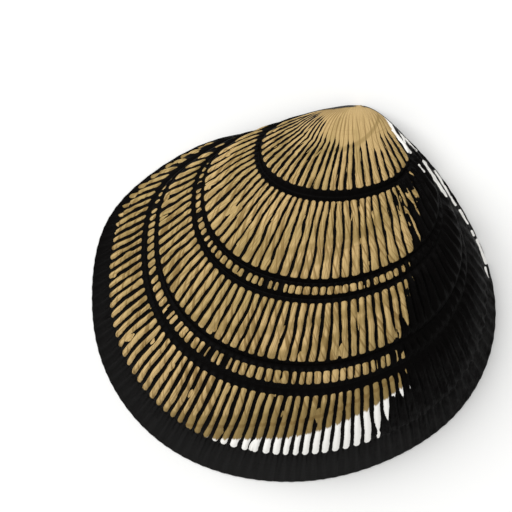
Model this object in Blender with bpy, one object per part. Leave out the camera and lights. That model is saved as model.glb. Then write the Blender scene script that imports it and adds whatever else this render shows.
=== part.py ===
"""Ribbed clam shell: the right valve of a ribbed clam, lying hollow side down.

Metres, +Z up. X runs along the shell with the front end at +X, +Y points to the
beak, and the origin is under the middle of the shell on the surface it rests on.

The form is grown as the animal grows it: one closed margin curve is scaled by a
growth stage, from 1 at the rim to nearly 0 at the beak, and tilts about the hinge
line as it shrinks. Ribs, growth ledges and the hollow all follow that law.
"""
import math

import bmesh
import bpy
import numpy as np

MM = 0.001

# Margin from above, in mm from the pole where the beak meets the hinge line
MARGIN_MM = (
    (-0.2, -1.1), (-10.2, -3.4), (-20.2, -5.5), (-30.8, -10.5), (-37.9, -17.3), (-39.7, -27.4),
    (-37.9, -38.1), (-31.5, -47.8), (-21.3, -54.2), (-8.2, -55.9), (3.9, -52.9), (14.0, -46.2),
    (19.6, -36.7), (20.0, -26.5), (15.9, -16.3), (8.6, -6.5),
)
MARGIN_CENTRE_MM = (-9.0, -28.0)
MARGIN_SAMPLES = 1440

# Tilt of the growing margin about the hinge line, in radians, as a cubic of 1 - stage
TILT = (2.257, -2.405, 1.753)

# Stages at which growth paused: one early line, two double lines, and the last rim
PAUSES = (0.382, 0.588, 0.625, 0.762, 0.810, 0.936)
PAUSE_HALF_WIDTH = 0.006
LEDGE = 0.4 * MM
LEDGE_FADE = 0.09
OTHER_STAGES = (1.0, 0.97, 0.87, 0.69, 0.53, 0.46, 0.31, 0.24, 0.18, 0.12, 0.07)
TIP_STAGE = 0.03

# Radial ribs, straight and evenly fanned as seen from above, between two places on the rim
RIB_COUNT = 80
RIB_START = 0.125
RIB_END = 0.925
GROOVE_DEPTH = 0.42 * MM
RIB_EDGE_COLUMNS = 6
BARE_RADIUS = 7.0 * MM
FULL_RELIEF_RADIUS = 15.0 * MM
HINGE_COLUMNS = 10
LEAST_TILT_COSINE = 0.45

# Hollow under the shell, which leaves a wall and, along the hinge, a broad plate
WALL = 1.9 * MM
HINGE_WIDTH = 6.2 * MM
HINGE_SPREAD = 0.10
CAVITY_STAGES = (1.05, 1.0, 0.95, 0.88, 0.80, 0.70, 0.60, 0.50, 0.41, 0.34)
CAVITY_TIP_STAGE = 0.29
CAVITY_COLUMNS = 64

# Hinge plate, sunk so that its teeth stay clear of the surface the shell rests on
PLATE_DEPTH = 1.2 * MM
PLATE_EDGE = 1.3 * MM
PLATE_REACH = 8.0 * MM
PLATE_ARC = 0.085
PLATE_POINTS = 13
TOOTH_HEIGHT = 1.0 * MM
TOOTH_ROOT = 0.6 * MM
TOOTH_WIDTH = 0.8 * MM
TOOTH_LENGTH = 3.4 * MM
TOOTH_START = 1.4 * MM
TOOTH_CREST = 0.55
TOOTH_ANGLES_DEG = (-50.0, -12.0, 28.0)

SHELL_COLOUR = (0.46, 0.36, 0.19, 1.0)
SHELL_ROUGHNESS = 0.5
SMOOTH_ANGLE = math.radians(50.0)


def spaced_loop(points, samples):
    """Evenly spaced points of the closed cubic spline through the given points."""
    knots = np.array(points)
    after = np.roll(knots, -1, axis=0)
    gap = np.sqrt(np.linalg.norm(after - knots, axis=1))
    slope = (after - knots) / gap[:, None]
    matrix = np.diag(2.0 * (gap + np.roll(gap, 1)))
    for i, width in enumerate(gap):
        matrix[i, (i + 1) % len(gap)] = width
        matrix[(i + 1) % len(gap), i] = width
    bend = np.linalg.solve(matrix, 6.0 * (slope - np.roll(slope, 1, axis=0)))
    start = np.concatenate(([0.0], np.cumsum(gap)))
    place = np.linspace(0.0, start[-1], samples + 1)
    span = np.minimum(np.searchsorted(start, place, side="right") - 1, len(gap) - 1)
    step = (place - start[span])[:, None]
    width = gap[span][:, None]
    first, last = bend[span], bend[(span + 1) % len(gap)]
    line = slope[span] - width * (2.0 * first + last) / 6.0
    curve = knots[span] + step * (line + step * (first / 2.0 + step * (last - first) / (6.0 * width)))
    along = np.concatenate(([0.0], np.cumsum(np.linalg.norm(np.diff(curve, axis=0), axis=1))))
    even = np.linspace(0.0, along[-1], samples + 1)
    return np.column_stack([np.interp(even, along, curve[:, i]) for i in range(2)])


MARGIN = spaced_loop(MARGIN_MM, MARGIN_SAMPLES) * MM
CENTRE = np.array(MARGIN_CENTRE_MM) * MM


def margin_at(places):
    """Margin points at fractions of its length, counted from the hinge towards the rear."""
    around = np.linspace(0.0, 1.0, len(MARGIN))
    return np.column_stack([np.interp(places % 1.0, around, MARGIN[:, i]) for i in range(2)])


def tilt(stage):
    young = 1.0 - stage
    return young * (TILT[0] + young * (TILT[1] + young * TILT[2]))


def tilt_rate(stage):
    young = 1.0 - stage
    return TILT[0] + young * (2.0 * TILT[1] + young * 3.0 * TILT[2])


def tilted(loop, stage):
    """A flat loop, lifted about the hinge line to its place at a growth stage."""
    angle = tilt(stage)
    return np.column_stack([loop[:, 0], loop[:, 1] * math.cos(angle), -loop[:, 1] * math.sin(angle)])


def rib_places(stage):
    """Places of grooves and ridges at a stage, then of the smooth columns behind the hinge."""
    fine = np.linspace(RIB_START, RIB_END, MARGIN_SAMPLES)
    rim = margin_at(fine)
    headings = np.arctan2(rim[:, 0], -rim[:, 1])
    columns = np.linspace(headings[0], headings[-1], 2 * RIB_COUNT + 1)
    cosine = max(math.cos(tilt(stage)), LEAST_TILT_COSINE)
    places = np.interp(np.arctan(np.tan(columns) * cosine), headings, fine)
    behind = np.linspace(places[-1], 1.0 + places[0], HINGE_COLUMNS + 2)[1:-1]
    return np.concatenate([places, behind])


def groove_depths():
    """Depth of each column under the ridges, fading out towards both ends of the hinge."""
    column = np.arange(2 * RIB_COUNT + 1)
    edge = np.minimum(column, column[::-1]) / RIB_EDGE_COLUMNS
    depth = GROOVE_DEPTH * np.minimum(edge, 1.0) * (column % 2 == 0)
    return np.concatenate([depth, np.zeros(HINGE_COLUMNS)])


def ledge_depth(stage):
    """After a pause the new shell starts lower, then grows back to the full form."""
    since = [stage - pause for pause in PAUSES if stage > pause]
    return LEDGE * max(0.0, 1.0 - min(since) / LEDGE_FADE) if since else 0.0


def outer_rows():
    """Rows of points over the outer surface, from the rim to the beak, smooth near the pole."""
    edges = [pause + side * PAUSE_HALF_WIDTH for pause in PAUSES for side in (-1, 1)]
    stages = sorted(edges + list(OTHER_STAGES), reverse=True)
    rows = np.array([tilted(margin_at(rib_places(stage)) * stage, stage) for stage in stages])
    along = np.gradient(rows, axis=0)
    across = np.roll(rows, -1, axis=1) - np.roll(rows, 1, axis=1)
    outward = np.cross(across, along)
    outward /= np.linalg.norm(outward, axis=2)[:, :, None]
    radius = np.linalg.norm(rows, axis=2)
    reach = np.clip((radius - BARE_RADIUS) / (FULL_RELIEF_RADIUS - BARE_RADIUS), 0.0, 1.0)
    depth = np.array([groove_depths() + ledge_depth(stage) for stage in stages])
    rows -= outward * (depth * reach)[:, :, None]
    rows[0, :, 2] = 0.0
    return rows


def inset_row(stage):
    """One loop of the hollow, drawn in from the shell's loop by the wall and the hinge plate."""
    places = np.linspace(0.0, 1.0, CAVITY_COLUMNS, endpoint=False)
    loop = margin_at(places) * stage
    steepness = stage * tilt_rate(stage)
    wall = WALL * math.sqrt(1.0 + steepness ** 2) / steepness
    from_hinge = np.minimum(places, 1.0 - places) / HINGE_SPREAD
    thickness = wall + (HINGE_WIDTH - wall) * np.exp(-from_hinge ** 2)
    inward = CENTRE * stage - loop
    inward /= np.linalg.norm(inward, axis=1)[:, None]
    return tilted(loop + inward * thickness[:, None], stage)


def loft(name, rows, tip, collection):
    """Closed body through the rows, with a flat face under the first and a point past the last."""
    mesh = bmesh.new()
    grid = [[mesh.verts.new(point) for point in row] for row in rows]
    for lower, upper in zip(grid, grid[1:]):
        for i, vert in enumerate(lower):
            mesh.faces.new((lower[i - 1], vert, upper[i], upper[i - 1]))
    summit = mesh.verts.new(tip)
    for i, vert in enumerate(grid[-1]):
        mesh.faces.new((grid[-1][i - 1], vert, summit))
    mesh.faces.new(grid[0][::-1])
    bmesh.ops.recalc_face_normals(mesh, faces=mesh.faces)
    data = bpy.data.meshes.new(name)
    mesh.to_mesh(data)
    mesh.free()
    return place(bpy.data.objects.new(name, data), collection)


def place(obj, collection):
    """Put an object in a collection, measured from the beak's pole."""
    for other in obj.users_collection:
        other.objects.unlink(obj)
    collection.objects.link(obj)
    obj.parent = pole
    return obj


def plate_cutter(collection):
    """Flat outline over the hinge plate, from inside the back edge out into the hollow."""
    back = margin_at(np.linspace(-PLATE_ARC, PLATE_ARC, PLATE_POINTS))
    inward = CENTRE - back
    inward /= np.linalg.norm(inward, axis=1)[:, None]
    outline = np.vstack([back + inward * PLATE_EDGE, (back + inward * PLATE_REACH)[::-1]])
    curve = bpy.data.curves.new("plate_outline", "CURVE")
    curve.dimensions = "2D"
    curve.fill_mode = "BOTH"
    curve.extrude = PLATE_DEPTH
    spline = curve.splines.new("POLY")
    spline.points.add(len(outline) - 1)
    spline.use_cyclic_u = True
    for point, (x, y) in zip(spline.points, outline):
        point.co = (x, y, 0.0, 1.0)
    guide = place(bpy.data.objects.new("plate_outline", curve), collection)
    evaluated = guide.evaluated_get(bpy.context.evaluated_depsgraph_get())
    data = bpy.data.meshes.new_from_object(evaluated)
    mesh = bmesh.new()
    mesh.from_mesh(data)
    bmesh.ops.remove_doubles(mesh, verts=mesh.verts, dist=0.00001)
    bmesh.ops.recalc_face_normals(mesh, faces=mesh.faces)
    mesh.to_mesh(data)
    mesh.free()
    cutter = place(bpy.data.objects.new("hinge_plate_recess", data), collection)
    bpy.data.objects.remove(guide)
    return cutter


def tooth(name, angle_deg, collection):
    """Hinge tooth that points away from the beak, narrower at its crest."""
    angle = math.radians(angle_deg)
    middle = TOOTH_START + TOOTH_LENGTH / 2.0
    height = TOOTH_HEIGHT + TOOTH_ROOT
    bpy.ops.mesh.primitive_cube_add(size=1.0)
    cube = bpy.context.object
    cube.name = name
    for vert in cube.data.vertices:
        crest = TOOTH_CREST if vert.co.z < 0.0 else 1.0
        vert.co.x *= TOOTH_WIDTH * crest
        vert.co.y *= TOOTH_LENGTH
        vert.co.z *= height
    cube.location = (
        MARGIN[0, 0] + math.sin(angle) * middle,
        MARGIN[0, 1] - math.cos(angle) * middle,
        PLATE_DEPTH - TOOTH_HEIGHT + height / 2.0,
    )
    cube.rotation_euler.z = angle
    return place(cube, collection)


def combine(target, other, operation):
    """Cut the target with another body, or join the body to it."""
    other.hide_render = True
    other.display_type = "WIRE"
    modifier = target.modifiers.new(other.name, "BOOLEAN")
    modifier.operation = operation
    modifier.object = other
    modifier.solver = "EXACT"


def shell_material():
    material = bpy.data.materials.new("shell")
    material.use_nodes = True
    shader = material.node_tree.nodes["Principled BSDF"]
    shader.inputs["Base Color"].default_value = SHELL_COLOUR
    shader.inputs["Roughness"].default_value = SHELL_ROUGHNESS
    shader.inputs["Metallic"].default_value = 0.0
    return material


for old in list(bpy.data.objects):
    bpy.data.objects.remove(old)

part = bpy.data.collections.new("ribbed_clam_shell")
cutters = bpy.data.collections.new("cutters")
for group in (part, cutters):
    bpy.context.scene.collection.children.link(group)

surface = outer_rows()
lowest = surface.min(axis=(0, 1))
highest = surface.max(axis=(0, 1))

pole = bpy.data.objects.new("beak_pole", None)
pole.location = (-(lowest[0] + highest[0]) / 2.0, -(lowest[1] + highest[1]) / 2.0, 0.0)
part.objects.link(pole)

beak_tip = tilted(MARGIN * TIP_STAGE, TIP_STAGE).mean(axis=0)
valve = loft("valve", surface, beak_tip, part)
valve.data.materials.append(shell_material())

hollow = loft("hollow", [inset_row(s) for s in CAVITY_STAGES], inset_row(CAVITY_TIP_STAGE).mean(axis=0), cutters)
combine(valve, hollow, "DIFFERENCE")
combine(valve, plate_cutter(cutters), "DIFFERENCE")
for number, degrees in enumerate(TOOTH_ANGLES_DEG, start=1):
    combine(valve, tooth(f"hinge_tooth_{number}", degrees, cutters), "UNION")

valve.data.shade_smooth()
valve.data.set_sharp_from_angle(angle=SMOOTH_ANGLE)
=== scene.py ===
"""Dressed ribbed clam shell: the right valve of a ribbed clam, lying hollow side down.

Metres, +Z up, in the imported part's frame: +X points to the front end of the animal, +Y to
the beak, and the rim rests on z = 0. One node tree grows the valve in the same way as the
solid: the margin is scaled by a growth stage and tilts about the hinge as it shrinks.
"""
import math

import bmesh
import bpy
import numpy as np
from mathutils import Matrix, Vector


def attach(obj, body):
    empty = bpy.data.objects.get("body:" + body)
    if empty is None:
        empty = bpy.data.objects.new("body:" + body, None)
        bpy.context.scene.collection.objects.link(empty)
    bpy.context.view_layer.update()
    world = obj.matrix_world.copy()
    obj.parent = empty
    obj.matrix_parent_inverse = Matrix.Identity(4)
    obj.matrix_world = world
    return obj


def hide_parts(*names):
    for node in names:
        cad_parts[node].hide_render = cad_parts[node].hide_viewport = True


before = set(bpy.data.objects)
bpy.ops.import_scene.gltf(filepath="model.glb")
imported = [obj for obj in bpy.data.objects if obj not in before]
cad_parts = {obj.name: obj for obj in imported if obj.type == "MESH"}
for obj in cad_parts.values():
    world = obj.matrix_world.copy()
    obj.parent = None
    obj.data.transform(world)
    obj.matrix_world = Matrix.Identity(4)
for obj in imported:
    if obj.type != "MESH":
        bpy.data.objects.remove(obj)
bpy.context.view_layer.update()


# The margin: the edge along which a clam lays down new shell, from its mantle. It is straight
# at the hinge and round below, and each growth line on the valve is a smaller copy of it.

MM = 0.001
BEAK_POLE = Vector((9.647, 27.940, 0.0)) * MM
MARGIN_MM = (
    (-0.2, -1.1), (-10.2, -3.0), (-20.6, -4.7), (-31.1, -10.2), (-37.6, -17.4), (-39.7, -27.4),
    (-38.2, -38.2), (-31.8, -48.1), (-21.4, -54.3), (-8.2, -55.95), (3.95, -53.0), (14.2, -46.3),
    (19.7, -36.75), (20.06, -26.5), (16.05, -16.25), (8.8, -6.3),
)
MARGIN_CENTRE_MM = (-9.0, -28.0)
MARGIN_SAMPLES = 1440
TILT = (2.257, -2.405, 1.753)


def spaced_loop(points, samples):
    """Evenly spaced points of the closed cubic spline through the given points."""
    knots = np.array(points)
    after = np.roll(knots, -1, axis=0)
    gap = np.sqrt(np.linalg.norm(after - knots, axis=1))
    slope = (after - knots) / gap[:, None]
    matrix = np.diag(2.0 * (gap + np.roll(gap, 1)))
    for i, width in enumerate(gap):
        matrix[i, (i + 1) % len(gap)] = width
        matrix[(i + 1) % len(gap), i] = width
    bend = np.linalg.solve(matrix, 6.0 * (slope - np.roll(slope, 1, axis=0)))
    start = np.concatenate(([0.0], np.cumsum(gap)))
    place = np.linspace(0.0, start[-1], samples + 1)
    span = np.minimum(np.searchsorted(start, place, side="right") - 1, len(gap) - 1)
    step = (place - start[span])[:, None]
    width = gap[span][:, None]
    first, last = bend[span], bend[(span + 1) % len(gap)]
    line = slope[span] - width * (2.0 * first + last) / 6.0
    curve = knots[span] + step * (line + step * (first / 2.0 + step * (last - first) / (6.0 * width)))
    along = np.concatenate(([0.0], np.cumsum(np.linalg.norm(np.diff(curve, axis=0), axis=1))))
    even = np.linspace(0.0, along[-1], samples + 1)
    return np.column_stack([np.interp(even, along, curve[:, i]) for i in range(2)])


margin = spaced_loop(MARGIN_MM, MARGIN_SAMPLES) * MM

margin_data = bpy.data.curves.new("valve_margin", "CURVE")
margin_data.dimensions = "3D"
margin_line = margin_data.splines.new("POLY")
margin_line.points.add(MARGIN_SAMPLES - 1)
margin_line.use_cyclic_u = True
for point, (x, y) in zip(margin_line.points, margin):
    point.co = (x, y, 0.0, 1.0)
growing_margin = bpy.data.objects.new("growing_margin", margin_data)
bpy.context.scene.collection.objects.link(growing_margin)


# The growth tree: every point of the valve has a column, which counts round the margin, and a
# stage, from 0 at the beak to 1 at the rim. The tree turns both into a place in the shell.

RIB_START = 0.125
RIB_END = 0.925
LEAST_TILT_COSINE = 0.45
REAR_HINGE_SHARE = 0.035
FRONT_HINGE_SHARE = 0.022
HEADING_KNOTS = 41


def pick(sockets, key):
    """A node's socket by its number, or the one in use among those of a name."""
    if isinstance(key, int):
        return sockets[key]
    return next(socket for socket in sockets if socket.name == key and socket.enabled)


def feed(socket, value):
    """Joins a value in the tree to a socket, or sets the socket to a plain value."""
    if isinstance(value, Wire):
        value.tree.links.new(value.socket, socket)
    else:
        socket.default_value = value


def add_node(tree, kind, inputs, output=0, **settings):
    """Adds a node to a tree and gives the value that comes out of it."""
    node = tree.nodes.new(kind)
    for name, value in settings.items():
        setattr(node, name, value)
    for key, value in inputs.items():
        feed(pick(node.inputs, key), value)
    return Wire(pick(node.outputs, output))


class Wire:
    """A value in a node tree. Arithmetic on it adds Math nodes to the same tree."""

    def __init__(self, socket):
        self.socket = socket
        self.tree = socket.id_data

    def math(self, operation, *others):
        values = dict(enumerate((self, *others)))
        return add_node(self.tree, "ShaderNodeMath", values, operation=operation)

    def __add__(self, other):
        return self.math("ADD", other)

    def __sub__(self, other):
        return self.math("SUBTRACT", other)

    def __mul__(self, other):
        return self.math("MULTIPLY", other)

    def __truediv__(self, other):
        return self.math("DIVIDE", other)

    def __rsub__(self, other):
        return self.math("MULTIPLY", -1.0).math("ADD", other)

    def __pow__(self, power):
        return self.math("POWER", power)

    __radd__ = __add__
    __rmul__ = __mul__


def least(value, other):
    return value.math("MINIMUM", other)


def most(value, other):
    return value.math("MAXIMUM", other)


def clamped(value):
    return most(least(value, 1.0), 0.0)


def blend(start, end, share):
    return start + (end - start) * share


def ease(value, low, high):
    """From 0 below the low limit to 1 above the high one, smooth between."""
    limits = {0: value, 1: low, 2: high, 3: 0.0, 4: 1.0}
    return add_node(value.tree, "ShaderNodeMapRange", limits, interpolation_type="SMOOTHSTEP")


def fade(value, low, high):
    """From 1 below the low limit to 0 above the high one."""
    return 1.0 - ease(value, low, high)


def within(value, rise, fall):
    """1 between two pairs of limits, and smooth within each pair."""
    return ease(value, *rise) * fade(value, *fall)


def distance(x, y):
    return (x * x + y * y).math("SQRT")


def trace(value, knots):
    """Reads a curve that is given as knots, both of whose coordinates run from 0 to 1."""
    node = value.tree.nodes.new("ShaderNodeFloatCurve")
    feed(node.inputs["Value"], value)
    line = node.mapping.curves[0]
    line.points[0].location = knots[0]
    line.points[1].location = knots[-1]
    for knot in knots[1:-1]:
        line.points.new(*knot)
    node.mapping.update()
    return Wire(node.outputs[0])


def split(vector):
    """The three parts of a vector."""
    node = vector.tree.nodes.new("ShaderNodeSeparateXYZ")
    feed(node.inputs[0], vector)
    return [Wire(output) for output in node.outputs]


def join(x, y, z):
    """A vector from three parts, the first of them a value in the tree."""
    return add_node(x.tree, "ShaderNodeCombineXYZ", {0: x, 1: y, 2: z})


def vector_math(operation, *values, output=0):
    parts = dict(enumerate(values))
    return add_node(values[0].tree, "ShaderNodeVectorMath", parts, output, operation=operation)


def length(vector):
    return vector_math("LENGTH", vector, output="Value")


def scaled(vector, share):
    return vector_math("MULTIPLY", vector, join(share, share, share))


def tilt(stage):
    """Angle by which the margin of a stage is lifted about the hinge line."""
    young = 1.0 - stage
    return young * (young * (young * TILT[2] + TILT[1]) + TILT[0])


def tilt_rate(stage):
    """How fast that angle grows as the stage falls."""
    young = 1.0 - stage
    return young * (young * (3.0 * TILT[2]) + 2.0 * TILT[1]) + TILT[0]


fan_places = np.linspace(RIB_START, RIB_END, MARGIN_SAMPLES)
fan_margin = margin[np.round(fan_places * MARGIN_SAMPLES).astype(int)]
fan_headings = np.arctan2(fan_margin[:, 0], -fan_margin[:, 1])
FIRST_HEADING = float(fan_headings[0])
FAN_ANGLE = float(fan_headings[-1] - fan_headings[0])
even_headings = np.linspace(0.0, 1.0, HEADING_KNOTS)
place_of_heading = np.interp(FIRST_HEADING + even_headings * FAN_ANGLE, fan_headings, fan_places)
heading_knots = list(zip(even_headings, place_of_heading))


def fan_at(column):
    """0 at the first column of the fan, 1 at the last, and beyond those along the hinge."""
    return (column - REAR_HINGE_SHARE) / (1.0 - REAR_HINGE_SHARE - FRONT_HINGE_SHARE)


def margin_place(column, stage):
    """Place on the margin that a column of points passes through at a stage."""
    heading = clamped(fan_at(column)) * FAN_ANGLE + FIRST_HEADING
    cosine = most(tilt(stage).math("COSINE"), LEAST_TILT_COSINE)
    turned = (heading.math("TANGENT") * cosine).math("ARCTANGENT")
    in_fan = trace((turned - FIRST_HEADING) / FAN_ANGLE, heading_knots)
    rear = least(column / REAR_HINGE_SHARE, 1.0)
    front = least((1.0 - column) / FRONT_HINGE_SHARE, 1.0)
    return 1.0 - (1.0 - in_fan * rear) * front


def margin_point(curve, place):
    """Point of the margin at a place, counted from the hinge towards the rear."""
    inputs = {"Curves": curve, "Factor": place.math("FRACT")}
    node = {"output": "Position", "mode": "FACTOR", "use_all_curves": True}
    return add_node(curve.tree, "GeometryNodeSampleCurve", inputs, **node)


def lifted(x, y, stage):
    """A point of a stage's flat loop, tilted about the hinge line."""
    angle = tilt(stage)
    return join(x, y * angle.math("COSINE"), y * angle.math("SINE") * -1.0)


def outside_point(curve, column, stage):
    """Point of the smooth outside, before ribs."""
    x, y, _ = split(margin_point(curve, margin_place(column, stage)))
    return lifted(x * stage, y * stage, stage)


def rib_fan(column, point):
    """Place in the fan of ribs. Along the hinge it goes by the heading from the beak."""
    x, y, _ = split(point)
    fan = fan_at(column)
    heading = (x.math("ARCTAN2", y * -1.0) - FIRST_HEADING) / FAN_ANGLE
    beyond = fan.math("LESS_THAN", 0.0) + fan.math("GREATER_THAN", 1.0)
    return blend(fan, heading, beyond)


# The ribs: rounded radial ridges between narrow grooves. At each pause in growth the mantle
# draws back, leaves a furrow across all ribs, and starts again lower with more of them.

# Stages at which zones with more ribs start, and at which furrows lie
ZONES = ((0.0, 30), (0.382, 42), (0.588, 60), (0.762, 78))
PAUSES = (0.380, 0.587, 0.622, 0.760, 0.807)
FURROW_HALF_WIDTHS = (0.0135, 0.0080, 0.0088, 0.0108, 0.0122)
LEAST_FURROW_SCALE = 33.0 * MM
LAST_PAUSE = 0.936
WINDOWS = ((0.594, 0.615), (0.769, 0.797))
WINDOW_FILLING = 0.45 * MM
WINDOW_FILLING_POWER = 4.0
WINDOW_FILLING_SEEDS = (5.0, 700.0)
WINDOW_NARROWING = 0.45

# Fan of ribs. A noise is its fineness across and along the ribs, a seed, and any other detail
LEAN = 0.30
LEAN_KNOTS = (
    (0.0, 0.80), (0.22, 1.0), (0.35, 0.94), (0.49, 0.80), (0.655, 0.50), (0.80, 0.28), (1.0, 0.16),
)
FINER_REAR = 0.16
STEP = 0.0006
LEAST_CROWDING = 0.3
WANDER = 1.1
WANDER_NOISE = (13.0, 7.0, 0.0)
WANDER_STAGES = (0.2, 0.5)

# Widths of grooves
GROOVE_HALF_WIDTH = 0.11 * MM
GROOVE_WIDENING = 0.0036
WEIGHT_NOISE = (60.0, 17.0, 3.0)
WEIGHT_RANGE = 1.3
LEAST_WEIGHT = 0.35
BREAK_NOISE = (90.0, 17.0, 8.0, 0.0)
BREAK_LIMITS = (0.23, 0.28)
BREAK_HALF_WIDTH = -0.055 * MM
UMBO_STARTS = (5.1 * MM, 7.3 * MM)
UMBO_START_SEED = 11.0
UMBO_TAPER = (0.5 * MM, 1.0 * MM)
UNSTARTED_WIDTH = -0.3
UMBO_GROOVE_GAIN = 0.3
UMBO_GAIN_STAGES = ((0.2, 0.3), (0.37, 0.38))

# Relief of ribs, furrows and ledges, which is bare on the umbo and worn at the rim
RIB_END_RADIUS = 0.30 * MM
RIB_RELIEF = 0.34 * MM
RIB_SLOPE_SHARE = 0.4
DEEPEST_SHARE = 0.3
FURROW_RELIEF = 0.30 * MM
FURROW_SLOPE = 0.5 * MM
RIM_STAGES = (0.95, 1.0)
RIM_WEAR = 0.8
LEDGE = 0.4 * MM
LEDGE_EDGE = 0.006
LEDGE_FADE = 0.09
BARE_RADIUS = 5.0 * MM
FULL_RELIEF_RADIUS = 13.0 * MM
SKIN = 0.06 * MM
POLE_STAGE = 0.02


def noise(vector, scale, detail=2.0):
    """Noise from 0 to 1 at places that a vector gives."""
    inputs = {"Vector": vector, "Scale": scale, "Detail": detail}
    return add_node(vector.tree, "ShaderNodeTexNoise", inputs)


def shell_noise(fan, stage, across, along, seed, detail=2.0):
    """Noise that follows the ribs, with its fineness across and along them."""
    return noise(join(fan * across, stage * along, seed), 1.0, detail)


def chance(number):
    """A fixed random number from 0 to 1 for each whole number."""
    return add_node(number.tree, "ShaderNodeTexWhiteNoise", {"W": number}, noise_dimensions="1D")


def rib_place(fan, stage):
    """Place among the ribs, which lean outward from the umbo and are finer at the rear."""
    lean = (trace(fan, LEAN_KNOTS) - 0.5) * (2.0 * LEAN)
    return fan * (1.0 + FINER_REAR - fan * FINER_REAR) + lean * (1.0 - stage) ** 3.0


def in_windows(stage):
    """1 between the two furrows of a double pause, where the ribs are cut into short tiles."""
    window = stage * 0.0
    for low, high in WINDOWS:
        window = window + stage.math("GREATER_THAN", low) * stage.math("LESS_THAN", high)
    return window


def groove_half_width(fan, stage, radius, groove, count):
    """Half the width of a groove in metres, below 0 where it hasn't started or is broken."""
    start = blend(*UMBO_STARTS, chance(groove + count * UMBO_START_SEED))
    taper = ease(radius, start - UMBO_TAPER[0], start + UMBO_TAPER[1])
    weight = shell_noise(fan, stage, *WEIGHT_NOISE) * WEIGHT_RANGE + LEAST_WEIGHT
    width = radius * GROOVE_WIDENING + GROOVE_HALF_WIDTH
    width = width * blend(UNSTARTED_WIDTH, 1.0, taper) * weight
    width = width * (1.0 + within(stage, *UMBO_GAIN_STAGES) * UMBO_GROOVE_GAIN)
    window = in_windows(stage)
    zone_seed, seed = WINDOW_FILLING_SEEDS
    filled = chance(groove + count * zone_seed + seed) ** WINDOW_FILLING_POWER
    filling = filled * WINDOW_FILLING * window
    width = width * (1.0 - window * WINDOW_NARROWING) + filling
    unbroken = ease(shell_noise(fan, stage, *BREAK_NOISE), *BREAK_LIMITS)
    return blend(BREAK_HALF_WIDTH, width, unbroken)


def furrow_edge(stage, stage_step):
    """Distance to the edge of the nearest furrow, in metres, below 0 inside it."""
    nearest = stage * 0.0 + 1.0
    width_scale = most(stage_step, LEAST_FURROW_SCALE)
    for pause, half_width in zip(PAUSES, FURROW_HALF_WIDTHS):
        away = (stage - pause).math("ABSOLUTE") * stage_step
        nearest = least(nearest, away - width_scale * half_width)
    return nearest


def rib_edges(fan, stage, radius, fan_step, stage_step):
    """Distances from a groove's middle, its edge and a furrow's edge, and the ribs' spacing.

    All are in metres, and the middle two are below 0 inside the groove or furrow. The steps
    are the lengths on the shell of one whole fan and one whole stage.
    """
    count = fan * 0.0 + float(ZONES[0][1])
    for (start, ribs), (_, fewer) in zip(ZONES[1:], ZONES):
        count = count + stage.math("GREATER_THAN", start) * float(ribs - fewer)
    among = rib_place(fan, stage)
    crowding = (rib_place(fan + STEP, stage) - among) / STEP
    pitch = fan_step / (count * most(crowding, LEAST_CROWDING))
    wander = shell_noise(fan, stage, *WANDER_NOISE) - 0.5
    phase = among * count + wander * ease(stage, *WANDER_STAGES) * WANDER
    groove = phase.math("ROUND")
    middle = (phase - groove).math("ABSOLUTE") * pitch
    aside = middle - groove_half_width(fan, stage, radius, groove, count)
    return middle, aside, furrow_edge(stage, stage_step), pitch


def rounded_face(aside, ahead):
    """Distance in from the edge of a rib's face whose ends are rounded."""
    corner = distance(most(RIB_END_RADIUS - aside, 0.0), most(RIB_END_RADIUS - ahead, 0.0))
    return RIB_END_RADIUS - corner


def relief_depth(fan, stage, radius, fan_step, stage_step):
    """How far the outside lies below the crowns of the ribs, in metres."""
    _, aside, ahead, pitch = rib_edges(fan, stage, radius, fan_step, stage_step)
    slope = 1.0 - clamped(rounded_face(aside, ahead) / (pitch * RIB_SLOPE_SHARE))
    groove = slope ** 2.0 * least(pitch * DEEPEST_SHARE, RIB_RELIEF)
    groove = groove * (1.0 - ease(stage, *RIM_STAGES) * RIM_WEAR)
    furrow = ease(ahead * -1.0, 0.0, FURROW_SLOPE) * FURROW_RELIEF
    ledge = stage * 0.0
    for pause in (*PAUSES, LAST_PAUSE):
        since = stage - pause
        drop = ease(since, -LEDGE_EDGE, LEDGE_EDGE) * (1.0 - since / LEDGE_FADE)
        ledge = most(ledge, drop)
    reach = ease(radius, BARE_RADIUS, FULL_RELIEF_RADIUS)
    return (groove + furrow + ledge * LEDGE) * reach + ease(stage, 0.0, POLE_STAGE) * SKIN


# The hollow side: polished inside of the valve, with a broad hinge plate next to the beak.
# The wall keeps one thickness, and the inner edge of the rim is notched by the ribs' ends.

WALL = 1.9 * MM
HINGE_WIDTH = 6.2 * MM
HINGE_SPREAD = 0.10
HOLLOW_LAST_STAGE = 0.30
HOLLOW_TIP = Vector((-2.9, -4.76, 7.46)) * MM
RIM_SHARE = 0.1
NOTCH = 0.16 * MM
NOTCH_FANS = ((0.0, 0.03), (0.97, 1.0))


def hollow_stage(row):
    """Stage of a row of the hollow side, whose rows follow those of the rim."""
    share = (row - 1.0 - RIM_SHARE) / (1.0 - RIM_SHARE)
    return 1.0 - clamped(share) * (1.0 - HOLLOW_LAST_STAGE)


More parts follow.
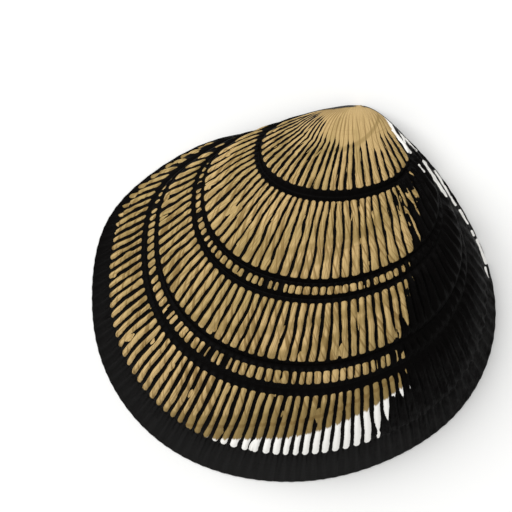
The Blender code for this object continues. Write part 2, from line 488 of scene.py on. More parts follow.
def hollow_point(curve, column, row):
    """Point of the hollow side, the thickness there, and its share of the margin from the hinge."""
    stage = hollow_stage(row)
    place = margin_place(column, stage)
    x, y, _ = split(margin_point(curve, place))
    from_hinge = least(place.math("FRACT"), 1.0 - place.math("FRACT"))
    steep = tilt_rate(stage) * stage
    wall = (steep * steep + 1.0).math("SQRT") / steep * WALL
    spread = (from_hinge / HINGE_SPREAD) ** 2.0 * -1.0
    fan = fan_at(column)
    notch = (fan * (2.0 * math.pi * ZONES[-1][1])).math("COSINE") * NOTCH
    notch = notch * ease(stage, *RIM_STAGES) * within(fan, *NOTCH_FANS)
    thickness = wall + (HINGE_WIDTH - wall) * spread.math("EXPONENT") + notch
    to_centre_x = MARGIN_CENTRE_MM[0] * MM - x
    to_centre_y = MARGIN_CENTRE_MM[1] * MM - y
    inward = thickness / distance(to_centre_x, to_centre_y)
    point = lifted(x * stage + to_centre_x * inward, y * stage + to_centre_y * inward, stage)
    return point, thickness, from_hinge


# The valve as grown: columns and rows of points over the outside, the rim and the hollow
# side, closed at the beak and at the deepest point of the hollow.

COLUMNS = 860
ROWS = 110
JOIN_DISTANCE = 0.001 * MM
SHARP_EDGE = math.radians(75.0)

# How close together rows lie on each part
OUTSIDE_DENSITY = 45.0
RIM_DENSITY = 130.0
HOLLOW_DENSITY = 28.0
PAUSE_DENSITY = 160.0
PAUSE_REACH = 0.012
ROW_SAMPLES = 4001
ROW_KNOTS = 90
FROM_ABOVE = (1.0, 1.0, 0.35)
LEAST_AREA = 1e-14
LEAST_LENGTH = 1e-9
LONGEST_FAN = 0.3

# Rim and hinge plate
RIM_ROUNDING = 0.22 * MM
BEHIND_POLE = -0.02 * MM
PLATE_DEPTH = 1.2 * MM
PLATE_THICKNESS = 1.3 * MM
PLATE_EDGE = 1.3 * MM
PLATE_EDGE_SLOPE = 0.3 * MM
PLATE_ARC = 0.085
PLATE_END_SLOPE = 0.006
PLATE_BACK_ROWS = 0.06
CLOSING_ROWS = 0.06
HOLLOW_FINISH_ROWS = (1.015, 1.02)


def row_knots():
    """Spacing of the rows of points, closer together at the furrows and on the rim."""
    row = np.linspace(0.0, 2.0, ROW_SAMPLES)
    inside = np.where(row < 1.0 + RIM_SHARE, RIM_DENSITY, HOLLOW_DENSITY)
    density = np.where(row < 1.0, OUTSIDE_DENSITY, inside)
    for pause in (*PAUSES, LAST_PAUSE):
        density += PAUSE_DENSITY * np.exp(-((row - pause) / PAUSE_REACH) ** 2)
    counted = np.concatenate(([0.0], np.cumsum(density[1:] + density[:-1])))
    counted /= counted[-1]
    even = np.linspace(0.0, 1.0, ROW_KNOTS)
    return list(zip(even, np.interp(even, counted, row) / 2.0))


def smooth_outside(curve, column, stage):
    """The outside before ribs: its point, its outward side and its place in the fan of ribs.

    Then come the lengths there of one whole fan and one whole stage, in metres, mostly as
    seen from above, so that ribs and furrows keep their widths on steep slopes.
    """
    here = outside_point(curve, column, stage)
    beside = outside_point(curve, column + STEP, stage)
    ahead = outside_point(curve, column, stage + STEP)
    column_step = vector_math("SUBTRACT", beside, here)
    stage_step = vector_math("SUBTRACT", ahead, here)
    outward = vector_math("NORMALIZE", vector_math("CROSS_PRODUCT", stage_step, column_step))
    stage_step = vector_math("MULTIPLY", stage_step, FROM_ABOVE)
    column_step = vector_math("MULTIPLY", column_step, FROM_ABOVE)
    patch = most(length(vector_math("CROSS_PRODUCT", stage_step, column_step)), LEAST_AREA)
    fan = rib_fan(column, here)
    fan_beside = rib_fan(column + STEP, beside) - fan
    fan_ahead = rib_fan(column, ahead) - fan
    change = vector_math("SUBTRACT", scaled(stage_step, fan_beside), scaled(column_step, fan_ahead))
    fan_length = least(patch / most(length(change), LEAST_AREA), LONGEST_FAN)
    stage_length = patch / most(length(column_step), LEAST_LENGTH) / STEP
    return here, outward, fan, fan_length, stage_length


def shell_point(curve, column, row, outside):
    """Point of the whole shell, which runs from the outside over the rim to the hollow side."""
    hollow, thickness, from_hinge = hollow_point(curve, column, row)
    rim = clamped((row - 1.0) / RIM_SHARE)
    out_x, out_y, out_z = split(outside)
    in_x, in_y, in_z = split(hollow)
    edge = (rim * 2.0 - 1.0) ** 2.0 * RIM_ROUNDING
    plate = ease(rim * thickness, PLATE_EDGE - PLATE_EDGE_SLOPE, PLATE_EDGE + PLATE_EDGE_SLOPE)
    plate = plate * fade(from_hinge, PLATE_ARC - PLATE_END_SLOPE, PLATE_ARC + PLATE_END_SLOPE)
    rim_end = 1.0 + RIM_SHARE
    back = ease(row, rim_end, rim_end + PLATE_BACK_ROWS) * PLATE_THICKNESS
    bottom = blend(edge, back + PLATE_DEPTH, plate)
    shell = (
        blend(out_x, in_x, rim),
        least(blend(out_y, in_y, rim), BEHIND_POLE),
        most(blend(out_z, in_z, rim), bottom),
    )
    closing = ease(row, 2.0 - CLOSING_ROWS, 2.0)
    return join(*(
        blend(part, tip, closing) + pole
        for part, tip, pole in zip(shell, HOLLOW_TIP, BEAK_POLE)
    ))


def stored(mesh, name, value, data_type, domain):
    """The mesh with a value kept on its points, faces or corners, under a name."""
    inputs = {"Geometry": mesh, "Name": name, "Value": value}
    kind = {"data_type": data_type, "domain": domain}
    return add_node(mesh.tree, "GeometryNodeStoreNamedAttribute", inputs, **kind)


def grow_valve(outside_material, hollow_material):
    """Node tree that turns the margin into the whole valve."""
    tree = bpy.data.node_groups.new("grow_valve", "GeometryNodeTree")
    tree.interface.new_socket("Geometry", in_out="INPUT", socket_type="NodeSocketGeometry")
    tree.interface.new_socket("Geometry", in_out="OUTPUT", socket_type="NodeSocketGeometry")
    given = tree.nodes.new("NodeGroupInput")
    curve = Wire(given.outputs["Geometry"])
    size = {"Size X": 1.0, "Size Y": 1.0, "Vertices X": COLUMNS, "Vertices Y": ROWS}
    mesh = add_node(tree, "GeometryNodeMeshGrid", size, "Mesh")
    across, along, _ = split(add_node(tree, "GeometryNodeInputPosition", {}))
    column = across + 0.5
    row = trace(along + 0.5, row_knots()) * 2.0
    stage = clamped(row)
    here, outward, fan, fan_length, stage_length = smooth_outside(curve, column, stage)
    x, y, _ = split(here)
    depth = relief_depth(fan, stage, distance(x, y), fan_length, stage_length)
    outside = vector_math("ADD", here, scaled(outward, depth * -1.0))

    steps = join(fan_length, stage_length, split(outward)[2])
    mesh = stored(mesh, "shell_chart", join(fan, row, 0.0), "FLOAT2", "CORNER")
    mesh = stored(mesh, "shell_steps", steps, "FLOAT_VECTOR", "POINT")
    mesh = stored(mesh, "hollow_side", ease(row, *HOLLOW_FINISH_ROWS), "FLOAT", "FACE")
    moved = {"Geometry": mesh, "Position": shell_point(curve, column, row, outside)}
    mesh = add_node(tree, "GeometryNodeSetPosition", moved)
    joined = {"Geometry": mesh, "Distance": JOIN_DISTANCE}
    mesh = add_node(tree, "GeometryNodeMergeByDistance", joined)
    mesh = add_node(tree, "GeometryNodeFlipFaces", {"Mesh": mesh})
    side_name = {"Name": "hollow_side"}
    side = add_node(tree, "GeometryNodeInputNamedAttribute", side_name, "Attribute")
    for material, chosen in (
        (outside_material, side.math("LESS_THAN", 0.5)),
        (hollow_material, side.math("GREATER_THAN", 0.5)),
    ):
        finish = {"Geometry": mesh, "Selection": chosen, "Material": material}
        mesh = add_node(tree, "GeometryNodeSetMaterial", finish)
    made = tree.nodes.new("NodeGroupOutput")
    feed(made.inputs["Geometry"], mesh)
    return tree


# Finish of the outside: chalky tan ribs with dark dried skin all over the lower margin, and the same
# near black as painted shade in every groove and furrow and over the whole front slope, where pale
# streaks are painted highlights. A pale worn zone lies above the margin.

TAN = (0.385, 0.280, 0.115, 1.0)
LIGHT_TAN = (0.525, 0.370, 0.168, 1.0)
STREAK_BROWN = (0.17, 0.105, 0.034, 1.0)
GREY_BROWN = (0.24, 0.165, 0.060, 1.0)
# Chalk white of the pale zones, also painted as highlights in streaks on the front slope
CHALK_AND_HIGHLIGHT = (0.92, 0.905, 0.865, 1.0)
# Near black of the dark skin on the rim and rear edge, and of the painted shade in grooves, furrows
# and over the front slope
DARK_SKIN_AND_SHADE = (0.0019, 0.0016, 0.0015, 1.0)

# Rear edge of the bare ribs, where dark skin starts, and front edge, where painted shade starts: a
# place in the fan for each stage
REAR_EDGE_KNOTS = (
    (0.0, 0.0), (0.5, 0.0), (0.6, 0.08), (0.7, 0.22), (0.8, 0.38), (0.9, 0.48), (1.0, 0.58),
)
FRONT_SHADE_EDGE_KNOTS = (
    (0.0, 1.0), (0.36, 1.0), (0.39, 0.80), (0.50, 0.775), (0.57, 0.755), (0.60, 0.705),
    (0.64, 0.71), (0.68, 0.70), (0.74, 0.665), (0.85, 0.66), (0.89, 0.625), (1.0, 0.615),
)

# Chalk above the lower margin, as a stage for each place in the fan, and on the umbo's front
CHALK_KNOTS = (
    (0.0, 1.0), (0.35, 0.975), (0.397, 0.942), (0.452, 0.911), (0.515, 0.894), (0.576, 0.875),
    (0.64, 0.857), (0.70, 0.84), (1.0, 0.80),
)
CHALK_WAVER = 0.012
CHALK_EDGE = (-0.002, 0.003)
GREY_BAND = 0.052
GREY_BAND_EDGE = (-0.004, 0.004)
GREY_BAND_STAGES = (0.80, 0.82)
GREY_BAND_STRENGTH = 0.75
GREY_LINE_PLACE = 0.0286
GREY_LINE_WIDTHS = (0.002, 0.005)
GREY_LINE_STRENGTH = 0.6
UMBO_WEAR_SLOPE = 0.585
UMBO_WEAR_EDGE = 2.55 * MM
UMBO_WEAR_WAVER = 0.4 * MM
UMBO_WEAR_FADE = 0.15 * MM
FRONT_START_STAGES = (0.36, 0.37)

# Edges of the dark skin and of the painted shade, which is ragged at the front slope
FRONT_SHADE_SPREAD = 0.3
REAR_EDGE_SPAN = 0.12
REAR_RIM_FANS = (0.05, 0.13)
REAR_RIM_GAIN = 0.045
FRONT_SHADE_EDGE_NOISE = (48.0, 14.0, 7.0, 4.0)
FRONT_SHADE_EDGE_STAGES = (0.42, 0.54)
LEAST_FRONT_SHADE_RAGGEDNESS = 0.12
UMBO_FRONT_SHADE_RAGGEDNESS = 0.65
GRAIN_SCALE = 2600.0
GRAIN_ROUGHNESS = 0.06 * MM
EDGE_NOISE_SCALE = 900.0
EDGE_ROUGHNESS = 0.16 * MM
SKIN_AND_SHADE_EDGE = (-0.02 * MM, 0.03 * MM)
STEEP_LIMIT = 0.18
STEEP_GAINS = (((5.0 * MM, 12.0 * MM), 0.12), ((16.0 * MM, 24.0 * MM), -0.10))
STEEP_FADE = 0.06
POLE_RADII = (0.2 * MM, 0.9 * MM)

# Painted highlights and painted shade streaks on the front slope: both ends, in mm from the beak, and
# half a width
HIGHLIGHT_STREAKS_MM = (
    ((4.95, -3.85), (7.45, -7.10), 0.20),
    ((6.25, -4.60), (8.50, -6.80), 0.17),
    ((8.70, -9.00), (9.50, -9.90), 0.16),
    ((9.50, -8.40), (12.80, -13.50), 0.26),
    ((11.30, -9.80), (14.25, -14.80), 0.17),
    ((14.90, -15.60), (16.05, -17.50), 0.22),
    ((16.70, -18.70), (17.00, -19.30), 0.13),
    ((17.50, -20.00), (18.90, -23.40), 0.20),
    ((18.70, -24.10), (19.20, -25.60), 0.12),
)
DARK_STREAKS_MM = (
    ((5.05, -3.05), (6.25, -5.30), 0.20),
    ((5.60, -3.40), (8.10, -6.70), 0.13),
    ((4.90, -2.60), (6.00, -3.30), 0.12),
)
DARK_STREAK_ROUGHNESS = 1.5
STREAK_EDGE = 0.03 * MM
HIGHLIGHT_EDGE_NOISE = (90.0, 16.0, 2.0, 3.0)
HIGHLIGHT_EDGE_MIDDLE = 0.47
HIGHLIGHT_EDGE_REACH = 0.5 * MM
LOWEST_HIGHLIGHT_SLOPE = 0.1

# Mottling of the ribs
FAINT_BANDS = (
    ((0.0, 0.40), (0.17, 0.315), (0.27, 0.27), (0.5, 0.245), (0.72, 0.21), (1.0, 0.14)),
    ((0.0, 0.66), (0.31, 0.56), (0.44, 0.51), (0.78, 0.46), (1.0, 0.44)),
    ((0.0, 0.745), (0.06, 0.71), (0.18, 0.65), (0.26, 0.625), (1.0, 0.3)),
    ((0.0, 0.85), (0.32, 0.735), (0.5, 0.67), (0.66, 0.65), (1.0, 0.62)),
    ((0.0, 0.95), (0.06, 0.91), (0.22, 0.825), (0.30, 0.80), (1.0, 0.5)),
)
FAINT_BAND_WAVER = 0.01
FAINT_BAND_WIDTHS = (0.004, 0.014)
FAINT_BAND_STRENGTH = 0.6
PATCH_NOISE = (5.0, 9.0, 1.0)
PATCH_LIMITS = (0.35, 0.65)
PALE_STAGES = (0.14, 0.28)
PALENESS = 0.2
AGED_STAGES = (0.22, 0.34)
YOUNG_STRENGTH = 0.5
STREAK_SLANT = 0.5
STREAK_NOISE = (150.0, 9.0, 5.0)
STREAK_LIMITS = (0.48, 0.64)
STREAK_STRENGTH = 0.8
FIBRE_NOISE = (420.0, 12.0, 5.0)
FIBRE_LIMITS = (0.42, 0.68)
FIBRE_STRENGTH = 0.6
YOUNG_LINE_WIDTHS = (0.04 * MM, 0.12 * MM)
YOUNG_LINE_RADII = ((1.0 * MM, 4.0 * MM), (7.0 * MM, 9.0 * MM))
YOUNG_LINE_STRENGTH = 0.6
RING_NOISE = (1.5, 130.0, 9.0)
RING_LIMITS = (0.58, 0.72)
RING_STRENGTH = 0.2
DULL_SPECULAR = 0.02
TAN_ROUGHNESS = (0.5, 0.65)
SKIN_AND_SHADE_ROUGHNESS = (0.4, 0.5)
FACE_BUMP = 0.1 * MM
FACE_BUMP_SHARE = 0.6
GRAIN_BUMP = 0.02 * MM
RING_BUMP = 0.03 * MM
OUTSIDE_BUMP_STRENGTH = 0.6


def mixed(share, start, end):
    """A colour between two others."""
    inputs = {0: share, 6: start, 7: end}
    return add_node(share.tree, "ShaderNodeMix", inputs, 2, data_type="RGBA")


def new_finish(name):
    """A material with one Principled shader, and that shader."""
    material = bpy.data.materials.new(name)
    material.use_nodes = True
    return material, material.node_tree.nodes["Principled BSDF"]


def add_bump(shader, height, strength):
    """Roughens a material's surface by a height in metres."""
    inputs = {"Height": height, "Distance": 1.0, "Strength": strength}
    feed(shader.inputs["Normal"], add_node(height.tree, "ShaderNodeBump", inputs, "Normal"))


def streaks_along(x, y, places, rough_edge):
    """1 in thin streaks whose ends and half widths are given in millimetres from the beak."""
    nearest = x * 0.0 + 1.0
    for (start_x, start_y), (end_x, end_y), half_width in places:
        run_x = (end_x - start_x) * MM
        run_y = (end_y - start_y) * MM
        from_x = x - start_x * MM
        from_y = y - start_y * MM
        along = clamped((from_x * run_x + from_y * run_y) / (run_x ** 2 + run_y ** 2))
        off_x = from_x - along * run_x
        off_y = from_y - along * run_y
        nearest = least(nearest, distance(off_x, off_y) - half_width * MM)
    return fade(nearest + rough_edge, -STREAK_EDGE, STREAK_EDGE)


def face_clear_of_skin_and_shade(fan, stage, fan_step, stage_step, aside, ahead):
    """Distance in from the edge of what dark skin and painted shade leave bare on a rib.

    Dark skin covers the rim and the outermost rear edge. Painted shade fills the grooves and furrows
    and creeps over the front slope.
    """
    rear = fan - trace(stage, REAR_EDGE_KNOTS) * REAR_EDGE_SPAN + REAR_EDGE_SPAN / 2.0
    last = fade(fan, *REAR_RIM_FANS) * REAR_RIM_GAIN + LAST_PAUSE - stage
    ahead = least(least(ahead, last * stage_step), rear * fan_step)
    # Painted shade over the front slope, with a ragged edge
    shade_raggedness = shell_noise(fan, stage, *FRONT_SHADE_EDGE_NOISE) - 0.5
    reach = fade(stage, *FRONT_SHADE_EDGE_STAGES) * UMBO_FRONT_SHADE_RAGGEDNESS + LEAST_FRONT_SHADE_RAGGEDNESS
    front = most(fan - trace(stage, FRONT_SHADE_EDGE_KNOTS) + shade_raggedness * reach, 0.0) * fan_step
    front = front * ease(stage, *FRONT_START_STAGES)
    return rounded_face(aside - front * FRONT_SHADE_SPREAD, ahead)


def steep_darkening(radius, upward):
    """1 on the steepest slopes, which are painted dark, and 0 elsewhere."""
    limit = radius * 0.0 + STEEP_LIMIT
    for radii, gain in STEEP_GAINS:
        limit = limit + ease(radius, *radii) * gain
    return fade(upward - limit, 0.0, STEEP_FADE) * ease(radius, *POLE_RADII)


def rib_colour(fan, stage, radius, middle, fibres, rings):
    """Mottled tan with brown streaks along the ribs and faint bands of lesser pauses."""
    patches = shell_noise(fan, stage, *PATCH_NOISE) + fade(stage, *PALE_STAGES) * PALENESS
    streaks = shell_noise(fan - stage * STREAK_SLANT, stage, *STREAK_NOISE)
    aged = blend(YOUNG_STRENGTH, 1.0, ease(stage, *AGED_STAGES))
    young_line = fade(middle, *YOUNG_LINE_WIDTHS) * within(radius, *YOUNG_LINE_RADII)
    colour = mixed(ease(patches, *PATCH_LIMITS), TAN, LIGHT_TAN)
    for share in (
        ease(streaks, *STREAK_LIMITS) * aged * STREAK_STRENGTH,
        ease(fibres, *FIBRE_LIMITS) * aged * FIBRE_STRENGTH,
        young_line * YOUNG_LINE_STRENGTH,
        ease(rings, *RING_LIMITS) * RING_STRENGTH,
    ):
        colour = mixed(share, colour, STREAK_BROWN)
    for knots in FAINT_BANDS:
        away = (stage - trace(fan, knots)).math("ABSOLUTE") + (fibres - 0.5) * FAINT_BAND_WAVER
        colour = mixed(fade(away, *FAINT_BAND_WIDTHS) * FAINT_BAND_STRENGTH, colour, GREY_BROWN)
    return colour


def worn_colour(colour, fan, stage, x, y, fibres):
    """The ribs' colour with the grey band above the margin, and chalk below it and in front."""
    past = stage - trace(fan, CHALK_KNOTS)
    band = ease(past + GREY_BAND, *GREY_BAND_EDGE) * ease(stage, *GREY_BAND_STAGES)
    colour = mixed(band * GREY_BAND_STRENGTH, colour, GREY_BROWN)
    line = fade((past + GREY_LINE_PLACE).math("ABSOLUTE"), *GREY_LINE_WIDTHS)
    colour = mixed(line * GREY_LINE_STRENGTH, colour, STREAK_BROWN)
    colour = mixed(ease(past + (fibres - 0.5) * CHALK_WAVER, *CHALK_EDGE), colour, CHALK_AND_HIGHLIGHT)
    bare = x + y * UMBO_WEAR_SLOPE - UMBO_WEAR_EDGE + (fibres - 0.5) * UMBO_WEAR_WAVER
    bare = ease(bare, 0.0, UMBO_WEAR_FADE) * fade(stage, *FRONT_START_STAGES)
    return mixed(bare, colour, CHALK_AND_HIGHLIGHT)


def outside_finish():
    material, shader = new_finish("ribbed_outside")
    tree = material.node_tree
    fan, stage, _ = split(add_node(tree, "ShaderNodeUVMap", {}, "UV", uv_map="shell_chart"))
    steps = add_node(tree, "ShaderNodeAttribute", {}, "Vector", attribute_name="shell_steps")
    fan_step, stage_step, upward = split(steps)
    place = add_node(tree, "ShaderNodeTexCoord", {}, "Object")
    place_x, place_y, _ = split(place)
    x = place_x - BEAK_POLE.x
    y = place_y - BEAK_POLE.y
    radius = distance(x, y)

    middle, aside, ahead, _ = rib_edges(fan, stage, radius, fan_step, stage_step)
    face = face_clear_of_skin_and_shade(fan, stage, fan_step, stage_step, aside, ahead)
    grain = noise(place, GRAIN_SCALE, 3.0)
    rough_edge = (noise(place, EDGE_NOISE_SCALE) - 0.5) * EDGE_ROUGHNESS
    rough_edge = rough_edge + (grain - 0.5) * GRAIN_ROUGHNESS
    # Near black: dark skin on the rim and rear edge, painted shade in the grooves, furrows, dark
    # streaks and over the front slope, and dark on the steepest slopes
    skin_and_shade = most(fade(face + rough_edge, *SKIN_AND_SHADE_EDGE), steep_darkening(radius, upward))
    rougher_edge = rough_edge * DARK_STREAK_ROUGHNESS
    skin_and_shade = most(skin_and_shade, streaks_along(x, y, DARK_STREAKS_MM, rougher_edge))
    # Pale streaks on the front slope are painted highlights, with ragged edges
    highlight_edge_noise = (shell_noise(fan, stage, *HIGHLIGHT_EDGE_NOISE) - HIGHLIGHT_EDGE_MIDDLE) * HIGHLIGHT_EDGE_REACH
    painted_highlight = streaks_along(x, y, HIGHLIGHT_STREAKS_MM, rough_edge + highlight_edge_noise)
    painted_highlight = painted_highlight * ease(upward, 0.0, LOWEST_HIGHLIGHT_SLOPE)

    fibres = shell_noise(fan, stage, *FIBRE_NOISE)
    rings = shell_noise(fan, stage, *RING_NOISE)
    colour = rib_colour(fan, stage, radius, middle, fibres, rings)
    colour = worn_colour(colour, fan, stage, x, y, fibres)
    # Dark skin and painted shade first, then painted highlights over them
    colour = mixed(skin_and_shade * (1.0 - painted_highlight), colour, DARK_SKIN_AND_SHADE)
    feed(shader.inputs["Base Color"], mixed(painted_highlight, colour, CHALK_AND_HIGHLIGHT))
    roughness = blend(blend(*TAN_ROUGHNESS, fibres), blend(*SKIN_AND_SHADE_ROUGHNESS, fibres), skin_and_shade)
    feed(shader.inputs["Roughness"], roughness)
    shader.inputs["Specular IOR Level"].default_value = DULL_SPECULAR
    height = least(face, FACE_BUMP) * FACE_BUMP_SHARE
    height = height + grain * GRAIN_BUMP + rings * RING_BUMP
    add_bump(shader, height, OUTSIDE_BUMP_STRENGTH)
    return material


# Finish of the hollow side: cream porcelain, polished, with the two scars where the closing
# muscles were fixed, and the line along which the mantle was, which bends in at the rear.

PORCELAIN = (0.72, 0.66, 0.56, 1.0)
PORCELAIN_RIM = (0.58, 0.46, 0.30, 1.0)
CLOUD = (0.60, 0.50, 0.38, 1.0)
SCAR = (0.50, 0.40, 0.27, 1.0)
MUSCLE_SCARS_MM = (((10.6, -22.6), (2.8, 4.6)), ((-28.2, -20.4), (4.4, 3.8)))
MANTLE_LINE = (
    (0.0, 0.72), (0.11, 0.75), (0.17, 0.77), (0.21, 0.64), (0.25, 0.60), (0.29, 0.66),
    (0.34, 0.82), (0.42, 0.865), (0.60, 0.875), (0.78, 0.85), (0.88, 0.79), (1.0, 0.72),
)
MANTLE_LINE_WIDTHS = (0.0024, 0.0096)
MANTLE_LINE_FANS = ((0.11, 0.14), (0.90, 0.94))
MANTLE_WAVER = 0.01
SCAR_WAVER = 0.5
SCAR_EDGE = (0.0, 0.06)
SCAR_RIM_WIDTHS = (0.02, 0.09)
CLOUD_SCALE = 160.0
CLOUD_LIMITS = (0.4, 0.7)
CLOUD_STRENGTH = 0.35
HOLLOW_GRAIN_SCALE = 2200.0
HOLLOW_RING_NOISE = (1.2, 60.0, 4.0)
HOLLOW_RING_STRENGTH = 0.15
RAY_NOISE = (130.0, 3.0, 6.0)
RING_AND_RAY_LIMITS = (0.5, 0.75)
RAY_STAGES = (0.78, 0.95)
RAY_STRENGTH = 0.3
RIM_TINT_STAGES = (0.84, 1.0)
SCAR_STRENGTHS = (0.25, 0.75)
POLISH = (0.24, 0.36)
DULLNESS = 0.2
SCAR_DULLNESS = 0.5
LINE_STRENGTH = 0.45
HOLLOW_RING_BUMP = 0.05 * MM
HOLLOW_RAY_BUMP = 0.03 * MM
HOLLOW_GRAIN_BUMP = 0.006 * MM
SCAR_BUMP = 0.08 * MM
LINE_BUMP = 0.05 * MM
HOLLOW_BUMP_STRENGTH = 0.7


def muscle_scars(x, y, uneven):
    """Distance into the nearest muscle scar, as a share of its size, below 0 outside both."""
    deepest = x * 0.0 - 1.0
    for (middle_x, middle_y), (half_x, half_y) in MUSCLE_SCARS_MM:
        across = (x - middle_x * MM) / (half_x * MM)
        along = (y - middle_y * MM) / (half_y * MM)
        deepest = most(deepest, 1.0 - distance(across, along) + uneven)
    return deepest


def hollow_finish():
    material, shader = new_finish("porcelain_hollow")
    tree = material.node_tree
    fan, row, _ = split(add_node(tree, "ShaderNodeUVMap", {}, "UV", uv_map="shell_chart"))
    stage = hollow_stage(row)
    place = add_node(tree, "ShaderNodeTexCoord", {}, "Object")
    place_x, place_y, _ = split(place)
    clouds = noise(place, CLOUD_SCALE, 3.0)
    grain = noise(place, HOLLOW_GRAIN_SCALE)
    rings = shell_noise(fan, stage, *HOLLOW_RING_NOISE)
    rays = shell_noise(fan, stage, *RAY_NOISE)
    uneven = (clouds - 0.5) * SCAR_WAVER
    scar = muscle_scars(place_x - BEAK_POLE.x, place_y - BEAK_POLE.y, uneven)
    scarred = ease(scar, *SCAR_EDGE)
    scar_rim = fade(scar.math("ABSOLUTE"), *SCAR_RIM_WIDTHS)
    from_line = (stage - trace(fan, MANTLE_LINE)).math("ABSOLUTE") + (clouds - 0.5) * MANTLE_WAVER
    line = fade(from_line, *MANTLE_LINE_WIDTHS) * within(fan, *MANTLE_LINE_FANS) * (1.0 - scarred)

    colour = mixed(ease(stage, *RIM_TINT_STAGES), PORCELAIN, PORCELAIN_RIM)
    for share, tint in (
        (ease(clouds, *CLOUD_LIMITS) * CLOUD_STRENGTH, CLOUD),
        (ease(rays, *RING_AND_RAY_LIMITS) * ease(stage, *RAY_STAGES) * RAY_STRENGTH, SCAR),
        (ease(rings, *RING_AND_RAY_LIMITS) * HOLLOW_RING_STRENGTH, CLOUD),
        (scarred * blend(*SCAR_STRENGTHS, rings), SCAR),
        (most(line, scar_rim) * LINE_STRENGTH, SCAR),
    ):
        colour = mixed(share, colour, tint)
    feed(shader.inputs["Base Color"], colour)
    dull = most(scarred * SCAR_DULLNESS, line) * DULLNESS
    feed(shader.inputs["Roughness"], blend(*POLISH, clouds) + dull)
    height = rings * HOLLOW_RING_BUMP + rays * HOLLOW_RAY_BUMP + grain * HOLLOW_GRAIN_BUMP
    height = height - scarred * SCAR_BUMP - line * LINE_BUMP
    add_bump(shader, height, HOLLOW_BUMP_STRENGTH)
    return material


outside_material = outside_finish()
hollow_material = hollow_finish()
growth = growing_margin.modifiers.new("grow_valve", "NODES")
growth.node_group = grow_valve(outside_material, hollow_material)
grown = growing_margin.evaluated_get(bpy.context.evaluated_depsgraph_get())
valve_mesh = bpy.data.meshes.new_from_object(grown)
valve_mesh.name = "grown_valve"

# The first slot is the empty one of the curve
valve_mesh.materials.pop(index=0)
bpy.data.objects.remove(growing_margin)
grown_valve = bpy.data.objects.new("grown_valve", valve_mesh)
bpy.context.scene.collection.objects.link(grown_valve)
valve_mesh.shade_smooth()
valve_mesh.set_sharp_from_angle(angle=SHARP_EDGE)
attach(grown_valve, "root")
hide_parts("valve")


# Hinge teeth: three porcelain ridges that fan out over the hinge plate and fitted between
# those of the other valve. They grew with the plate and stand on it, clear of the rim's plane.

TOOTH_ANGLES = (math.radians(-50.0), math.radians(-12.0), math.radians(28.0))
TOOTH_START = 1.4 * MM
TOOTH_LENGTH = 3.4 * MM
TOOTH_WIDTH = 0.85 * MM
TOOTH_HEIGHT = 1.0 * MM
TOOTH_ROOT = 0.6 * MM
TOOTH_CREST = 0.5
TOOTH_ROUNDING = 0.62
TOOTH_SEGMENTS = 28
TOOTH_RINGS = 18
TOOTH_END_LIFT = 0.25
TOOTH_CLOUD_SCALE = 700.0
TOOTH_CLOUD_LIMITS = (0.4, 0.65)
TOOTH_POLISH = (0.2, 0.4)
TOOTH_BUMP = 0.03 * MM


def squared(value):
    """Moves a coordinate of a unit ball out, so that the ball becomes a rounded block."""
    return math.copysign(abs(value) ** TOOTH_ROUNDING, value)


def add_tooth(mesh, angle):
    """Adds one rounded ridge that points away from the hinge, narrower at its crest."""
    hinge = Vector((*margin[0], 0.0)) + BEAK_POLE
    outward = Vector((math.sin(angle), -math.cos(angle), 0.0))
    aside = Vector((math.cos(angle), math.sin(angle), 0.0))
    height = TOOTH_HEIGHT + TOOTH_ROOT
    middle = hinge + outward * (TOOTH_START + TOOTH_LENGTH / 2.0)
    middle.z = PLATE_DEPTH - TOOTH_HEIGHT + height / 2.0
    segments = {"u_segments": TOOTH_SEGMENTS, "v_segments": TOOTH_RINGS}
    ball = bmesh.ops.create_uvsphere(mesh, radius=1.0, **segments)
    for point in ball["verts"]:
        x, y, z = (squared(value) for value in point.co)
        to_crest = (1.0 - z) / 2.0
        width = TOOTH_WIDTH * (1.0 + (TOOTH_CREST - 1.0) * to_crest)
        lift = 1.0 - TOOTH_END_LIFT * (y * 0.5 + 0.5) * to_crest
        point.co = middle + aside * (x * width / 2.0) + outward * (y * TOOTH_LENGTH / 2.0)
        point.co.z += z * lift * height / 2.0


def tooth_finish():
    material, shader = new_finish("tooth_porcelain")
    place = add_node(material.node_tree, "ShaderNodeTexCoord", {}, "Object")
    clouds = noise(place, TOOTH_CLOUD_SCALE, 3.0)
    colour = mixed(ease(clouds, *TOOTH_CLOUD_LIMITS), PORCELAIN, PORCELAIN_RIM)
    feed(shader.inputs["Base Color"], colour)
    feed(shader.inputs["Roughness"], blend(*TOOTH_POLISH, clouds))
    add_bump(shader, clouds * TOOTH_BUMP, HOLLOW_BUMP_STRENGTH)
    return material


teeth_work = bmesh.new()
for tooth_angle in TOOTH_ANGLES:
    add_tooth(teeth_work, tooth_angle)
teeth_mesh = bpy.data.meshes.new("hinge_teeth")
teeth_work.to_mesh(teeth_mesh)
teeth_work.free()
teeth_mesh.materials.append(tooth_finish())
teeth_mesh.shade_smooth()
hinge_teeth = bpy.data.objects.new("hinge_teeth", teeth_mesh)
bpy.context.scene.collection.objects.link(hinge_teeth)
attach(hinge_teeth, "root")


# The floor is plain pale paper, lit softly from the upper left by one large lamp, with a
# bright even sky that keeps the shadow faint.

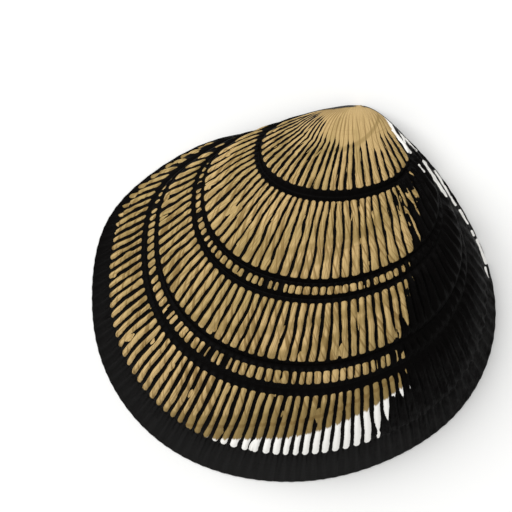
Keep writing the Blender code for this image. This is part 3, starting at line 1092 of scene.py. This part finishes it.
FLOOR_SIZE = 3.0
PAPER = (0.86, 0.86, 0.85, 1.0)
PAPER_ROUGHNESS = 0.9
SKY_COLOUR = (1.0, 1.0, 1.0, 1.0)
SKY_STRENGTH = 0.75
LAMP_PLACE = (-0.35, 0.30, 0.55)
LAMP_SIZE = 0.5
LAMP_WATTS = 4.0

floor_data = bpy.data.meshes.new("paper_floor")
half_floor = FLOOR_SIZE / 2.0
corners = [(-half_floor, -half_floor, 0.0), (half_floor, -half_floor, 0.0)]
corners += [(half_floor, half_floor, 0.0), (-half_floor, half_floor, 0.0)]
floor_data.from_pydata(corners, [], [(0, 1, 2, 3)])
floor = bpy.data.objects.new("paper_floor", floor_data)
bpy.context.scene.collection.objects.link(floor)
paper, paper_shader = new_finish("plain_paper")
paper_shader.inputs["Base Color"].default_value = PAPER
paper_shader.inputs["Roughness"].default_value = PAPER_ROUGHNESS
floor_data.materials.append(paper)

sky = bpy.data.worlds.new("even_sky")
sky.use_nodes = True
background = sky.node_tree.nodes["Background"]
background.inputs["Color"].default_value = SKY_COLOUR
background.inputs["Strength"].default_value = SKY_STRENGTH
bpy.context.scene.world = sky

lamp_data = bpy.data.lights.new("soft_lamp", "AREA")
lamp_data.shape = "SQUARE"
lamp_data.size = LAMP_SIZE
lamp_data.energy = LAMP_WATTS
lamp = bpy.data.objects.new("soft_lamp", lamp_data)
lamp.location = LAMP_PLACE
lamp.rotation_euler = (-Vector(lamp.location)).to_track_quat("-Z", "Y").to_euler()
bpy.context.scene.collection.objects.link(lamp)


# The camera looks straight down, as the picture does, through a very long lens that keeps
# upright sides from leaning.

PICTURE_WIDTH = 75.85 * MM
PICTURE_MIDDLE = (-5.57 * MM, 5.58 * MM)
LENS = 500.0
SENSOR = 36.0

camera_data = bpy.data.cameras.new("overhead_camera")
camera_data.lens = LENS
camera_data.sensor_width = SENSOR
camera = bpy.data.objects.new("overhead_camera", camera_data)
camera.location = (*PICTURE_MIDDLE, PICTURE_WIDTH * LENS / SENSOR)
bpy.context.scene.collection.objects.link(camera)
bpy.context.scene.camera = camera
bpy.context.scene.view_settings.view_transform = "Standard"
